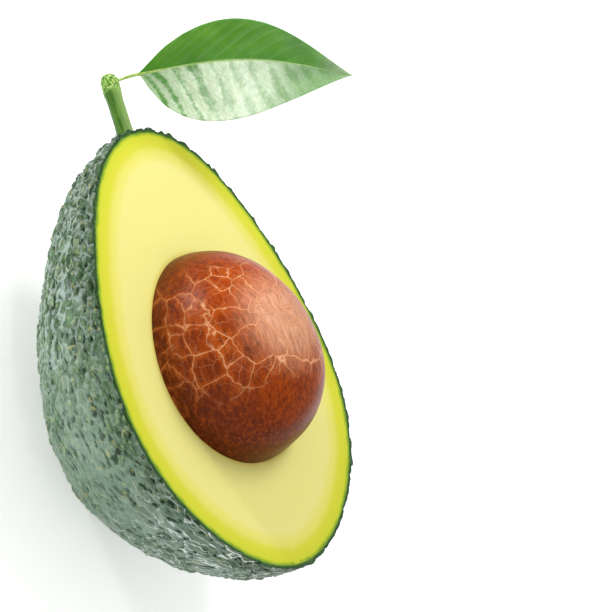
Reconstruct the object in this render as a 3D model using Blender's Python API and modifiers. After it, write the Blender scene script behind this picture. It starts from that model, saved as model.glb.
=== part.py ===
"""Half an avocado, cut lengthwise, lying on its rounded back with the cut face up.

Five pieces: the peel, the flesh, the whole seed sitting in its hollow, the stem and one leaf.

World axes, in metres: +Z up, +Y towards the stem, X across the cut face. The cut face is level. The origin
is the centre of the small flat spot on the back, which the fruit rests on.

The fruit's own frame is the empty "fruit_axis": its local Z runs from the blunt end (0) to the stem end
(LENGTH), its local X lies in the cut face, and its local Y points down, into the back.
"""

import math

import bpy
import bmesh
from mathutils import Vector

# ---- Driving dimensions, in metres -------------------------------------------------------------------------

LENGTH = 0.100           # blunt end to stem end
HALF_WIDTH = 0.036       # half the width across the cut face, before the egg terms
EGG_TERMS = (0.196, -0.066, -0.155)  # how the outline leaves an ellipse: fatter at the blunt end, pear at the stem
DEPTH_RATIO = 1.166      # the back is this much deeper than the half width
PEEL_THICKNESS = 0.0011
GAP = 0.0003             # between pieces that touch on the real fruit
FLAT_DEPTH = 0.0010      # how much of the back is pressed flat where it rests

SEED_CENTRE = 0.0472     # from the blunt end, on the cut plane
SEED_HALF_LENGTH = 0.0232
SEED_HALF_WIDTH = 0.0208
SEED_DEPTH_RATIO = 0.965
SEED_EGG_TERMS = (0.088, 0.0, 0.0)

STEM_FOOT = Vector((-0.0011, 0.0036, 0.0997))  # where the stem leaves the peel, in the fruit's frame
STEM_TILT = (math.radians(3.2), math.radians(2.6), 0.0)
STEM_RADIUS = 0.00165
STEM_SOCKET_DEPTH = 0.0018
STEM_HEAD_RADIUS = 0.00206
STEM_HEAD_CENTRE = 0.0116  # height of the swollen head's centre above the foot
STEM_HEIGHT = 0.0135

LEAF_LENGTH = 0.0467
LEAF_HALF_WIDTH = 0.0132
LEAF_THICKNESS = 0.0005
LEAF_BASE = Vector((0.0029, -0.0017, 0.1111))  # in the fruit's frame
LEAF_TURN = tuple(math.radians(a) for a in (52.3, -37.2, -21.8))  # in world axes: +X along the midrib
LEAF_FOLD = math.radians(28.0)   # each half of the blade rises this much from the midrib
LEAF_SWAY = 0.0043               # sideways bow of the midrib
LEAF_ARCH = 0.0020               # upward bow of the midrib
LEAF_BLUNT = 0.0003              # half width left at the blade's two ends
PETIOLE_RADIUS = 0.00034
MIDRIB_RADIUS = 0.00052
MIDRIB_TIP_RADIUS = 0.00022

# ---- Mesh density ------------------------------------------------------------------------------------------

FRUIT_STEPS = 56         # around the fruit's axis
FRUIT_RINGS = 30         # along it
SEED_STEPS = 40
SEED_RINGS = 20
STEM_STEPS = 20
LEAF_ROWS = 22           # along the blade
LEAF_COLUMNS = 8         # across it
MERGE = 0.00001
FAR = 0.2                # longer than anything here: the size of the cutting boxes


# ---- Outlines ----------------------------------------------------------------------------------------------

def egg_radius(angle, half_width, terms):
    """Radius of an egg at an angle that runs from 0 at the blunt end to pi at the other end."""
    c = math.cos(angle)
    return half_width * math.sin(angle) * (1 + terms[0] * c + terms[1] * c * c + terms[2] * c ** 3)


def egg_profile(half_length, half_width, terms, rings):
    """(radius, height) from the top of the egg to its blunt end, centred on its half length."""
    angles = [math.pi * (1 - i / rings) for i in range(rings + 1)]
    points = [(egg_radius(a, half_width, terms), -half_length * math.cos(a)) for a in angles]
    points[0] = (0.0, half_length)
    points[-1] = (0.0, -half_length)
    return points


def fruit_widest():
    """(distance from the blunt end, radius) of the fruit's widest ring."""
    angles = [math.pi * i / 720 for i in range(721)]
    widest = max(angles, key=lambda a: egg_radius(a, HALF_WIDTH, EGG_TERMS))
    return LENGTH / 2 * (1 - math.cos(widest)), egg_radius(widest, HALF_WIDTH, EGG_TERMS)


def leaf_half_width(u):
    """Half the blade's width at u, from 0 at its base to 1 at its tip: fullest before the middle."""
    return max(LEAF_BLUNT, LEAF_HALF_WIDTH * math.sin(math.pi * u ** 0.715) ** 1.085)


def leaf_point(u, v, lift=0.0):
    """A point of the blade in its own frame; v runs from -1 to 1 across it and lift is along its upper side."""
    across = v * leaf_half_width(u)
    y = across * math.cos(LEAF_FOLD) + LEAF_SWAY * math.sin(math.pi * u)
    z = abs(across) * math.sin(LEAF_FOLD) + LEAF_ARCH * 4 * u * (1 - u) + lift
    return Vector((LEAF_LENGTH * u, y, z))


# ---- Helpers -----------------------------------------------------------------------------------------------

def clear_scene():
    for obj in list(bpy.data.objects):
        bpy.data.objects.remove(obj, do_unlink=True)


def new_collection(name):
    collection = bpy.data.collections.new(name)
    bpy.context.scene.collection.children.link(collection)
    return collection


def link(name, mesh, collection, parent=None):
    obj = bpy.data.objects.new(name, mesh)
    collection.objects.link(obj)
    obj.parent = parent
    return obj


def make_cutter(obj):
    obj.hide_render = True
    obj.display_type = "WIRE"
    return obj


def turned(name, profile, steps, collection, parent):
    """A closed solid turned about its local Z from a profile that runs down its outer side."""
    mesh = bpy.data.meshes.new(name)
    edges = [(i, i + 1) for i in range(len(profile) - 1)]
    mesh.from_pydata([(r, 0.0, h) for r, h in profile], edges, [])
    obj = link(name, mesh, collection, parent)
    screw = obj.modifiers.new("turn", "SCREW")
    screw.axis = "Z"
    screw.steps = steps
    screw.render_steps = steps
    screw.use_merge_vertices = True
    screw.merge_threshold = MERGE
    screw.use_smooth_shade = True
    return obj


def fruit_egg(name, inset, collection, parent):
    """The fruit's outer shape, or one that lies this far inside it."""
    half_width = HALF_WIDTH - inset
    profile = egg_profile(LENGTH / 2 - inset, half_width, EGG_TERMS, FRUIT_RINGS)
    obj = turned(name, profile, FRUIT_STEPS, collection, parent)
    obj.location = (0.0, 0.0, LENGTH / 2)
    obj.scale = (1.0, (HALF_WIDTH * DEPTH_RATIO - inset) / half_width, 1.0)
    return obj


def seed_egg(name, inset, collection, parent):
    half_width = SEED_HALF_WIDTH - inset
    profile = egg_profile(SEED_HALF_LENGTH - inset, half_width, SEED_EGG_TERMS, SEED_RINGS)
    obj = turned(name, profile, SEED_STEPS, collection, parent)
    obj.location = (0.0, 0.0, SEED_CENTRE)
    obj.scale = (1.0, (SEED_HALF_WIDTH * SEED_DEPTH_RATIO - inset) / half_width, 1.0)
    return obj


def cutting_box(name, low_z, high_z, collection):
    """A box that spans the whole fruit between two heights, in world axes."""
    bm = bmesh.new()
    bmesh.ops.create_cube(bm, size=1.0)
    bmesh.ops.scale(bm, vec=(FAR, FAR, high_z - low_z), verts=bm.verts)
    bmesh.ops.translate(bm, vec=(0.0, 0.0, (low_z + high_z) / 2), verts=bm.verts)
    mesh = bpy.data.meshes.new(name)
    bm.to_mesh(mesh)
    bm.free()
    return make_cutter(link(name, mesh, collection))


def boolean(obj, cutter, operation="DIFFERENCE"):
    modifier = obj.modifiers.new(f"{operation.lower()} {cutter.name}", "BOOLEAN")
    modifier.operation = operation
    modifier.solver = "EXACT"
    modifier.object = cutter


def material(name, colour, roughness):
    mat = bpy.data.materials.new(name)
    mat.use_nodes = True
    shader = mat.node_tree.nodes["Principled BSDF"]
    shader.inputs["Base Color"].default_value = (*colour, 1.0)
    shader.inputs["Roughness"].default_value = roughness
    shader.inputs["Metallic"].default_value = 0.0
    mat.diffuse_color = (*colour, 1.0)
    return mat


# ---- Pieces ------------------------------------------------------------------------------------------------

def make_peel(parts, cutters, axis, above, socket):
    """The skin: the outer shape less the space that it wraps, flattened under the fruit."""
    space = make_cutter(fruit_egg("peel_space", PEEL_THICKNESS, cutters, axis))
    boolean(space, cutting_box("under_peel_space", -FAR, PEEL_THICKNESS, cutters))
    peel = fruit_egg("peel", 0.0, parts, axis)
    boolean(peel, space)
    boolean(peel, above)
    boolean(peel, cutting_box("floor", -FAR, 0.0, cutters))
    boolean(peel, socket)
    peel.data.materials.append(material("pebbled_green_skin", (0.075, 0.135, 0.05), 0.5))
    return peel


def make_flesh(parts, cutters, axis, above, socket):
    """The flesh fills the peel, is hollowed for the seed and is cut level."""
    hollow = make_cutter(seed_egg("seed_hollow", -GAP, cutters, axis))
    flesh = fruit_egg("flesh", PEEL_THICKNESS + GAP, parts, axis)
    boolean(flesh, above)
    boolean(flesh, cutting_box("under_flesh", -FAR, PEEL_THICKNESS + GAP, cutters))
    boolean(flesh, hollow)
    boolean(flesh, socket)
    flesh.data.materials.append(material("buttery_yellow_flesh", (0.89, 0.82, 0.27), 0.45))
    return flesh


def make_seed(parts, axis):
    seed = seed_egg("seed", 0.0, parts, axis)
    seed.data.materials.append(material("brown_seed_coat", (0.28, 0.075, 0.02), 0.4))
    return seed


def stem_profile():
    """Down the stem's outer side: the domed head, its swelling, the shaft and the foot in its socket."""
    dome = STEM_HEIGHT - STEM_HEAD_CENTRE
    head = [(STEM_HEAD_RADIUS * math.sin(a), STEM_HEAD_CENTRE + dome * math.cos(a))
            for a in (math.pi / 2 * i / 5 for i in range(6))]
    head[0] = (0.0, STEM_HEIGHT)
    shaft_top = STEM_HEAD_CENTRE - 2.2 * STEM_HEAD_RADIUS
    swelling = STEM_HEAD_RADIUS - STEM_RADIUS
    neck = [(STEM_RADIUS + swelling * 0.5 * (1 + math.cos(math.pi * i / 4)),
             STEM_HEAD_CENTRE + (shaft_top - STEM_HEAD_CENTRE) * i / 4) for i in range(1, 5)]
    foot = [(STEM_RADIUS, 0.0), (STEM_RADIUS, -STEM_SOCKET_DEPTH + GAP), (0.0, -STEM_SOCKET_DEPTH + GAP)]
    return head + neck + foot


def place_on_stem(obj):
    obj.location = STEM_FOOT
    obj.rotation_euler = STEM_TILT


def make_socket(cutters, axis):
    """The shallow round hole that the stem's foot sits in."""
    radius = STEM_RADIUS + GAP
    profile = [(0.0, 0.004), (radius, 0.004), (radius, -STEM_SOCKET_DEPTH), (0.0, -STEM_SOCKET_DEPTH)]
    socket = make_cutter(turned("stem_socket", profile, STEM_STEPS, cutters, axis))
    place_on_stem(socket)
    return socket


def make_stem(parts, axis):
    stem = turned("stem", stem_profile(), STEM_STEPS, parts, axis)
    place_on_stem(stem)
    stem.data.materials.append(material("green_stem", (0.2, 0.36, 0.06), 0.5))
    return stem


def make_leaf_blade(collection, holder):
    """A grid shaped into the folded, bowed blade and given its thickness."""
    bm = bmesh.new()
    bmesh.ops.create_grid(bm, x_segments=LEAF_ROWS, y_segments=LEAF_COLUMNS, size=0.5)
    for vert in bm.verts:
        vert.co = leaf_point(min(max(vert.co.x + 0.5, 0.0), 1.0), 2 * vert.co.y)
    mesh = bpy.data.meshes.new("leaf")
    bm.to_mesh(mesh)
    bm.free()
    mesh.shade_smooth()
    blade = link("leaf", mesh, collection, holder)
    thickness = blade.modifiers.new("thickness", "SOLIDIFY")
    thickness.thickness = LEAF_THICKNESS
    thickness.offset = 0.0
    return blade


def make_leaf_rib(collection, holder, start):
    """The petiole from the stem's head, running on as the midrib to the tip, as one tapered tube."""
    stations = [0.004 + 0.99 * i / 12 for i in range(13)]
    path = [start, start.lerp(leaf_point(stations[0], 0.0), 0.5)]
    radii = [PETIOLE_RADIUS, PETIOLE_RADIUS * 1.15]
    for u in stations:
        path.append(leaf_point(u, 0.0, lift=-0.00015))
        radii.append(MIDRIB_RADIUS + (MIDRIB_TIP_RADIUS - MIDRIB_RADIUS) * u)
    curve = bpy.data.curves.new("leaf_rib", "CURVE")
    curve.dimensions = "3D"
    curve.bevel_depth = 1.0
    curve.bevel_resolution = 2
    curve.use_fill_caps = True
    spline = curve.splines.new("POLY")
    spline.points.add(len(path) - 1)
    for point, place, radius in zip(spline.points, path, radii):
        point.co = (*place, 1.0)
        point.radius = radius
    rib = link("leaf_rib_curve", curve, collection, holder)
    bpy.context.view_layer.update()
    mesh = bpy.data.meshes.new_from_object(rib.evaluated_get(bpy.context.evaluated_depsgraph_get()))
    weld_caps(mesh)
    solid = make_cutter(link("leaf_rib", mesh, collection, holder))
    bpy.data.objects.remove(rib, do_unlink=True)
    return solid


def weld_caps(mesh):
    bm = bmesh.new()
    bm.from_mesh(mesh)
    bmesh.ops.remove_doubles(bm, verts=bm.verts, dist=MERGE)
    bmesh.ops.recalc_face_normals(bm, faces=bm.faces)
    bm.to_mesh(mesh)
    bm.free()


def make_leaf(parts, cutters, axis):
    """Blade and rib in one piece, held by an empty at the leaf's base."""
    holder = link("leaf_base", None, parts)
    bpy.context.view_layer.update()
    holder.location = axis.matrix_world @ LEAF_BASE
    holder.rotation_euler = LEAF_TURN
    blade = make_leaf_blade(parts, holder)
    bpy.context.view_layer.update()
    head = axis.matrix_world @ (STEM_FOOT + Vector((math.sin(STEM_TILT[1]), -math.sin(STEM_TILT[0]), 1.0))
                                * STEM_HEAD_CENTRE)
    towards_leaf = (holder.location - head).normalized()
    start = holder.matrix_world.inverted() @ (head + towards_leaf * (STEM_HEAD_RADIUS + GAP))
    boolean(blade, make_leaf_rib(cutters, holder, start), "UNION")
    blade.data.materials.append(material("glossy_green_leaf", (0.13, 0.3, 0.05), 0.35))
    return blade


def main():
    clear_scene()
    parts = new_collection("avocado_half")
    cutters = new_collection("avocado_cutters")
    widest_at, widest_radius = fruit_widest()
    cut_height = widest_radius * DEPTH_RATIO - FLAT_DEPTH
    axis = link("fruit_axis", None, parts)
    axis.location = (0.0, -widest_at, cut_height)
    axis.rotation_euler = (-math.pi / 2, 0.0, 0.0)
    above = cutting_box("above_cut", cut_height, cut_height + FAR, cutters)
    socket = make_socket(cutters, axis)
    make_peel(parts, cutters, axis, above, socket)
    make_flesh(parts, cutters, axis, above, socket)
    make_seed(parts, axis)
    make_stem(parts, axis)
    make_leaf(parts, cutters, axis)


main()
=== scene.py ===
# %% [markdown]
# # Half an avocado, with its seed, stem and leaf
# The fruit was cut lengthwise and laid on its rounded back, cut face up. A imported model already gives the
# pieces at their true size: peel, flesh, seed, stem and leaf. This script gives each one the surface that
# the real one has, and never moves or resizes it. Each new piece stands in the place of its plain solid.

import math

import bmesh
import bpy
from mathutils import Euler, Matrix, Quaternion, Vector, noise


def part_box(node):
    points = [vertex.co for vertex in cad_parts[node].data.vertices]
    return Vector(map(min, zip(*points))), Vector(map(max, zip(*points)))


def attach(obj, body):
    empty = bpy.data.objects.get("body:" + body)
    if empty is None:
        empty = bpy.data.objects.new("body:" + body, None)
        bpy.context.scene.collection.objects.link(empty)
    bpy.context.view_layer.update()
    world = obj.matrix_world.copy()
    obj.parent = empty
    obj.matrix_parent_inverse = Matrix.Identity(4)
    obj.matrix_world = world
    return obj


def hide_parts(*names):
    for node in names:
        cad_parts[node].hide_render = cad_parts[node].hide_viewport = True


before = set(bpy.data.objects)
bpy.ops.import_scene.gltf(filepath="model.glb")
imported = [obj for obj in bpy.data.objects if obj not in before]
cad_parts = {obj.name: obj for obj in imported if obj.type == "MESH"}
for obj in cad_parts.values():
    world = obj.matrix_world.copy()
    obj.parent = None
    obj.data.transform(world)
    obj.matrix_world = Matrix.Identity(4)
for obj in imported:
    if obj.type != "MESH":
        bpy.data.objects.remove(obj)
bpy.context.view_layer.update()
MM = 0.001
print("pieces in the frame:", sorted(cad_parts))

# %% [markdown]
# ## The fruit's outline
# An avocado is nearly a solid of revolution: an egg, fatter at the blunt end and drawn in a little towards
# the stem. One formula gives the radius of that egg, and everything that follows the skin uses it: the skin
# itself, the wall under it, and the edge of the flesh. A formula is better here than a list of points,
# because each piece can ask for as many points as its own surface needs.

# %% Measure the frame and write the egg
peel_low, peel_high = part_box("peel")
seed_low, seed_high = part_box("seed")
CUT = peel_high.z                       # height of the level cut face
BLUNT = peel_low.y                      # the blunt end's place along Y
LENGTH = peel_high.y - peel_low.y
EGG = (0.196, -0.066, -0.155)           # how the outline leaves an ellipse
SEED_EGG = (0.088, 0.0, 0.0)
FLAT_DEPTH = 1.0 * MM                   # the back is pressed flat by this much where it rests
PEEL = 1.65 * MM                        # thickness of the peel, from its highest warts
CUT_BEVEL = 0.12 * MM


def egg_radius(t, terms):
    """Radius of an egg of half width 1, at an angle t that runs from its blunt end to its stem end."""
    c = math.cos(t)
    return math.sin(t) * (1 + terms[0] * c + terms[1] * c ** 2 + terms[2] * c ** 3)


HALF_WIDTH = peel_high.x / max(egg_radius(math.pi * i / 720, EGG) for i in range(721))
DEEPER = (CUT + FLAT_DEPTH) / peel_high.x   # the back is this much deeper than the half width


def egg_outline(start, length, half_width, terms, count):
    """Points down one side of an egg that lies along Y in the cut plane, from end to end."""
    points = []
    for i in range(count + 1):
        t = math.pi * (1 - i / count)
        radius = half_width * egg_radius(t, terms)
        points.append(Vector((radius if 0 < i < count else 0.0, start + length / 2 * (1 - math.cos(t)),
                              CUT)))
    return points


print(f"fruit {LENGTH / MM:.0f} mm long, {2 * peel_high.x / MM:.0f} mm wide, cut at {CUT / MM:.1f} mm")

# %% [markdown]
# ## Turning an outline into a half shell
# The back of the fruit is the outline turned through half a turn below the cut. Blender's spin does just
# that. A full turn is closed with use_merge, a half turn stays open at the cut. The back is a little deeper
# than it is wide, so the turned shape is then stretched downwards from the cut plane, which leaves the
# outline in that plane alone.

# %% Spin helper


def spin_outline(bm, points, steps, deeper=1.0, angle=math.pi):
    """Turns an outline about the fruit's axis and returns the vertices of the new surface."""
    before = set(bm.verts)
    verts = [bm.verts.new(p) for p in points]
    edges = [bm.edges.new(pair) for pair in zip(verts, verts[1:])]
    full = angle > 1.5 * math.pi
    bmesh.ops.spin(bm, geom=verts + edges, cent=(0, 0, CUT), axis=(0, 1, 0), angle=angle, steps=steps,
                   use_merge=full)
    new = [v for v in bm.verts if v not in before]
    bmesh.ops.remove_doubles(bm, verts=new, dist=0.0005 * MM)
    new = [v for v in bm.verts if v not in before]
    bmesh.ops.scale(bm, vec=(1, 1, deeper), space=Matrix.Translation((0, 0, -CUT)), verts=new)
    return new


# %% [markdown]
# ## The peel's pebbled relief
# The skin is covered in bumps about 2 to 3 mm across, parted by narrow pits and grooves. They could be
# painted in with a bump map alone, but then the outline of the fruit would stay smooth. Here the
# vertices really move. Voronoi noise gives round cells, and its two nearest distances say how close a
# point is to the groove between two bumps. The bumps are drawn out a little along the fruit, as the skin
# has grown, and they stand closest towards the stem. The noise that bends them takes its offsets from a
# seed, and unless the seed is set, each run gives another skin.

# %% Height of the skin at a point
WART = 2.3        # mm, spacing of the warts
GRAIN = 1.1       # mm, spacing of the small bumps
RELIEF = 1.1      # mm, from the deepest pits to the highest warts
noise.seed_set(5)


def smooth(low, high, x):
    x = min(max((x - low) / (high - low), 0.0), 1.0)
    return x * x * (3 - 2 * x)


def domes(place, spacing, stretch):
    """A layer of domes drawn out along the fruit, 0 in the grooves and up to 1 on the tops."""
    cell = Vector((place.x, place.y / stretch, place.z)) / spacing
    distance, centre = noise.voronoi(cell)
    dome = 1 - min(distance[0] / 0.8, 1.0) ** 2
    parted = smooth(0.0, 0.4, distance[1] - distance[0])
    own_height = 0.7 + 0.7 * noise.noise(centre[0] * 5.3)
    return dome * (0.3 + 0.7 * parted) * own_height


def skin_height(co):
    """Height of the skin: near 0 in a pit, about 0.55 on the plain skin and 1 on a wart."""
    plain = co / MM
    place = plain + noise.noise_vector(plain / 4.5) * 1.3 + noise.noise_vector(plain / 1.5) * 0.3
    to_stem = smooth(-25.0, 40.0, plain.y)
    many = smooth(-0.35, 0.25, noise.noise(plain / 7.0) + 0.5 * to_stem - 0.15)
    warts = domes(place, WART, 1.35) * (0.2 + 0.8 * many)
    grain = domes(place + Vector((7.7, 3.1, 5.9)), GRAIN, 1.7)
    long_place = Vector((place.x / 1.15, place.y / 2.9, place.z / 1.15)) + Vector((31, 5, 8))
    pit = smooth(0.16, 0.46, noise.noise(long_place)) * (0.55 + 0.45 * many)
    crease = 1 - smooth(0.0, 0.09, abs(noise.noise(Vector((place.x / 5.0, place.y / 9.0, place.z / 5.0)))))
    lump = noise.noise(plain / 10.0)
    height = 0.34 + 0.85 * warts + 0.2 * grain + 0.08 * lump - 0.5 * pit - 0.12 * crease
    return min(max(height, 0.06), 1.0)


print("a few heights:", [round(skin_height(Vector((0.03, 0.01 * i, 0.02))), 2) for i in range(4)])

# %% [markdown]
# ## The peel
# On the real fruit the peel is a leathery skin, seen from outside and as a thin dark line around the
# cut. It is made as a closed shell: the outer surface from one spin, fine enough to carry the relief,
# and the hidden inner wall from another with few steps. Between them the outer edge is extruded inwards,
# level with the cut, until it meets the wall. The rim's outer edge gets a small bevel, as a knife leaves
# it. Two attributes are kept for the material: the relief at each point, and how far inside the rim it
# lies.

# %% Build the peel
SKIN_POINTS = 306     # along the fruit
SKIN_STEPS = 300      # around its back
WALL_STEPS = 12


def boundary(bm, verts):
    chosen = set(verts)
    return [e for e in bm.edges if e.is_boundary and e.verts[0] in chosen and e.verts[1] in chosen]


def inner_outline(inset, count):
    return egg_outline(BLUNT + inset, LENGTH - 2 * inset, HALF_WIDTH - inset, EGG, count)


def inner_depth(inset):
    return (HALF_WIDTH * DEEPER - inset) / (HALF_WIDTH - inset)


def make_peel():
    bm = bmesh.new()
    relief = bm.verts.layers.float.new("relief")
    inside = bm.verts.layers.float.new("inside")
    outer = spin_outline(bm, inner_outline(0.0, SKIN_POINTS), SKIN_STEPS, inner_depth(0.0))
    outer_rim = boundary(bm, outer)
    grown = bmesh.ops.extrude_edge_only(bm, edges=outer_rim)["geom"]
    rim_verts = [g for g in grown if isinstance(g, bmesh.types.BMVert)]
    middle = Vector((0, BLUNT + LENGTH / 2, CUT))
    shrink = (1 - PEEL / HALF_WIDTH, 1 - 2 * PEEL / LENGTH, 1)
    bmesh.ops.scale(bm, vec=shrink, space=Matrix.Translation(-middle), verts=rim_verts)
    wall = spin_outline(bm, inner_outline(PEEL, SKIN_POINTS), WALL_STEPS, inner_depth(PEEL))
    for v in wall + rim_verts:
        v[inside] = 1.0
        v.co.z = max(v.co.z, PEEL)
    bmesh.ops.remove_doubles(bm, verts=wall + rim_verts, dist=0.001 * MM)
    bm.normal_update()
    for v in outer:
        height = skin_height(v.co)
        outward = v.normal if v.normal.dot(v.co - middle) > 0 else -v.normal
        on_cut = abs(v.co.z - CUT) < 0.001 * MM
        if on_cut:
            outward = Vector((v.co.x, v.co.y - middle.y, 0.0)).normalized()
        v[relief] = height
        v.co += outward * (height - 1.0) * RELIEF * MM
        v.co.z = CUT if on_cut else max(v.co.z, 0.0)
    bmesh.ops.bevel(bm, geom=outer_rim, offset=CUT_BEVEL, segments=2, profile=0.5, affect="EDGES",
                    material=-1)
    bmesh.ops.recalc_face_normals(bm, faces=bm.faces)
    print("open edges in the peel:", sum(e.is_boundary for e in bm.edges))
    return bm


# %% [markdown]
# ## From bmesh to object
# A bmesh is only a working copy of a mesh. One helper writes it into a real mesh, puts that in an object
# at the origin under the root body, and hides the plain solid that the piece stands in for. It prints the
# counts, which show whether the piece stays small enough to be exported whole. Some mesh operators leave
# the faces in
# an order that differs from run to run, so they are sorted first. The corners of the cut rim are then
# marked sharp by their angle, so that the smooth shading doesn't run round them.

# %% Turn a bmesh into a piece of the object
MOST_VERTICES = 2 ** 17     # more than any piece has


def face_order(face):
    """One number from a face's three lowest vertices."""
    a, b, c = sorted(v.index for v in face.verts)[:3]
    return (a * MOST_VERTICES + b) * MOST_VERTICES + c


def keep_piece(bm, name, node):
    """Makes the finished mesh an object at the origin under the root body, and hides the plain solid it
    stands for.
    """
    bm.verts.index_update()
    bm.faces.sort(key=face_order)
    mesh = bpy.data.meshes.new(name)
    bm.to_mesh(mesh)
    bm.free()
    mesh.shade_smooth()
    piece = bpy.data.objects.new(name, mesh)
    bpy.context.scene.collection.objects.link(piece)
    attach(piece, "root")
    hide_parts(node)
    triangles = sum(len(p.vertices) - 2 for p in mesh.polygons)
    print(f"{name}: {len(mesh.vertices)} vertices, {triangles} triangles")
    return piece


peel = keep_piece(make_peel(), "pebbled_peel", "peel")
peel.data.set_sharp_from_angle(angle=math.radians(60))

# %% [markdown]
# ## The flesh
# Ripe flesh cuts clean and buttery. Its colour depends on how far a point lies from the peel: green at
# the very edge, then bright yellow, then pale cream yellow. So the cut face grows as rings, each
# extruded from the one before and moved a step nearer to the hollow of the seed, and each vertex keeps
# its distance from the peel and from the seed. The face closes the gap between two spun shells, the wall
# that fills the peel and the bowl that holds the seed, which makes it all one closed solid. Near the
# seed the flesh swells up by a hair, where it held tight.

# %% Build the flesh
FLESH_POINTS = 170    # along the fruit
FLESH_STEPS = 60      # around its back
BOWL_STEPS = 30       # around the hollow
SEED_GAP = 0.03 * MM
FACE_RINGS = 40
SEED_LENGTH = seed_high.y - seed_low.y
SEED_HALF_WIDTH = (seed_high.x - seed_low.x) / 2
SEED_DEEPER = (seed_high.z - CUT) / SEED_HALF_WIDTH
SEED_MIDDLE = (seed_low.y + seed_high.y) / 2


def seed_outline(grow, count):
    return egg_outline(seed_low.y - grow, SEED_LENGTH + 2 * grow, SEED_HALF_WIDTH + grow, SEED_EGG, count)


def distance_to_line(point, line):
    """Shortest distance from a point to a chain of points, in the cut plane."""
    best = 1.0
    for a, b in zip(line, line[1:]):
        along = b - a
        share = min(max((point - a).dot(along) / along.length_squared, 0.0), 1.0)
        best = min(best, (point - a - along * share).length)
    return best


def make_flesh():
    bm = bmesh.new()
    from_peel = bm.verts.layers.float.new("from_peel_mm")
    from_seed = bm.verts.layers.float.new("from_seed_mm")
    wall = spin_outline(bm, inner_outline(PEEL, FLESH_POINTS), FLESH_STEPS, inner_depth(PEEL))
    for v in wall:
        v.co.z = max(v.co.z, PEEL)
    bowl = spin_outline(bm, seed_outline(SEED_GAP, FLESH_POINTS), BOWL_STEPS, SEED_DEEPER)
    edge = inner_outline(PEEL, FLESH_POINTS)
    hole = seed_outline(SEED_GAP, FLESH_POINTS)
    pairs = {round(a.y / MM, 3): (a, b) for a, b in zip(edge, hole)}
    ring = boundary(bm, wall)
    partner = {v: pairs[round(v.co.y / MM, 3)] + (-1 if v.co.x < 0 else 1,) for e in ring for v in e.verts}
    for k in range(1, FACE_RINGS + 1):
        old = {v.co.copy().freeze(): partner[v] for e in ring for v in e.verts}
        grown = bmesh.ops.extrude_edge_only(bm, edges=ring)["geom"]
        verts = [g for g in grown if isinstance(g, bmesh.types.BMVert)]
        partner = {v: old[v.co.copy().freeze()] for v in verts}
        chosen = set(verts)
        ring = [g for g in grown if isinstance(g, bmesh.types.BMEdge) and chosen.issuperset(g.verts)]
        for v, (a, b, side) in partner.items():
            place = a.lerp(b, k / FACE_RINGS)
            v.co = (side * place.x, place.y, CUT)
    bmesh.ops.remove_doubles(bm, verts=bowl + verts, dist=0.001 * MM)
    face = [v for v in bm.verts if v.co.z > CUT - 0.001 * MM]
    for v in face:
        place = Vector((abs(v.co.x), v.co.y, CUT))
        v[from_peel] = distance_to_line(place, edge[::3]) / MM
        v[from_seed] = distance_to_line(place, hole[::3]) / MM
    for v in face:
        free = smooth(0, 0.2, v[from_peel]) * smooth(0, 0.2, v[from_seed])
        swell = 0.14 * math.exp(-v[from_seed] / 1.8)
        wave = 0.12 * noise.noise(v.co / MM / 9.0) * smooth(0, 3, v[from_peel]) * smooth(0, 3, v[from_seed])
        v.co.z += free * (swell + wave) * MM
    bmesh.ops.recalc_face_normals(bm, faces=bm.faces)
    print("open edges in the flesh:", sum(e.is_boundary for e in bm.edges))
    return bm


flesh = keep_piece(make_flesh(), "buttery_flesh", "flesh")
flesh.data.set_sharp_from_angle(angle=math.radians(50))

# %% [markdown]
# ## The seed
# The seed is a smooth woody egg that stands half out of the flesh. Its thin brown coat has dried and
# cracked into a net of fine pale lines. The body is one full spin, with faint lumps pressed into it. The
# cracks are hair thin, thinner than any reasonable mesh, so they are left to the material, with its bump.

# %% Build the seed
SEED_POINTS = 130
SEED_STEPS = 210


def make_seed():
    bm = bmesh.new()
    outline = seed_outline(0.0, SEED_POINTS)
    verts = spin_outline(bm, outline, SEED_STEPS, SEED_DEEPER, angle=2 * math.pi)
    middle = Vector((0, SEED_MIDDLE, CUT))
    for v in verts:
        away = smooth(0.0, 5.0, abs(v.co.z - CUT) / MM)
        place = v.co / MM
        lump = 0.55 * noise.noise(place / 11.0) + 0.2 * noise.noise(place / 4.0) - 0.4
        v.co += (v.co - middle).normalized() * lump * 0.4 * MM * away
    bmesh.ops.recalc_face_normals(bm, faces=bm.faces)
    return bm


seed = keep_piece(make_seed(), "woody_seed", "seed")

# %% [markdown]
# ## The stem
# The fruit hung from a short green stalk about 3 mm thick. It is faintly ribbed lengthwise and ends in a
# swollen, knobbly head where the next growth began. It is turned from a profile first, then the ribs and
# knobs are pressed into it while it still stands upright, and last it is tilted into place on the fruit.

# %% Build the stem
STEM_FOOT = Vector((-1.1 * MM, BLUNT + 99.7 * MM, CUT - 3.6 * MM))
STEM_TURN = Euler((math.radians(3.2 - 90), math.radians(2.6), 0.0))
STEM_RADIUS = 1.74 * MM
HEAD_RADIUS = 2.16 * MM
HEAD_AT = 11.6 * MM
STEM_TOP = 13.8 * MM
STEM_BURIED = 1.4 * MM
DOME_RINGS = 24
SHAFT_RINGS = 100
STEM_STEPS = 88


def stem_radius(h):
    """Radius of the stalk at a height above the skin: a shaft that swells into a domed head."""
    if h > HEAD_AT:
        return HEAD_RADIUS * math.sqrt(max(1 - ((h - HEAD_AT) / (STEM_TOP - HEAD_AT)) ** 2, 0.0))
    swell = smooth(HEAD_AT - 4.5 * MM, HEAD_AT, h)
    flare = 0.22 * MM * math.exp(-max(h, 0.0) / (0.9 * MM))
    return STEM_RADIUS + (HEAD_RADIUS - STEM_RADIUS) * swell + flare


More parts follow.
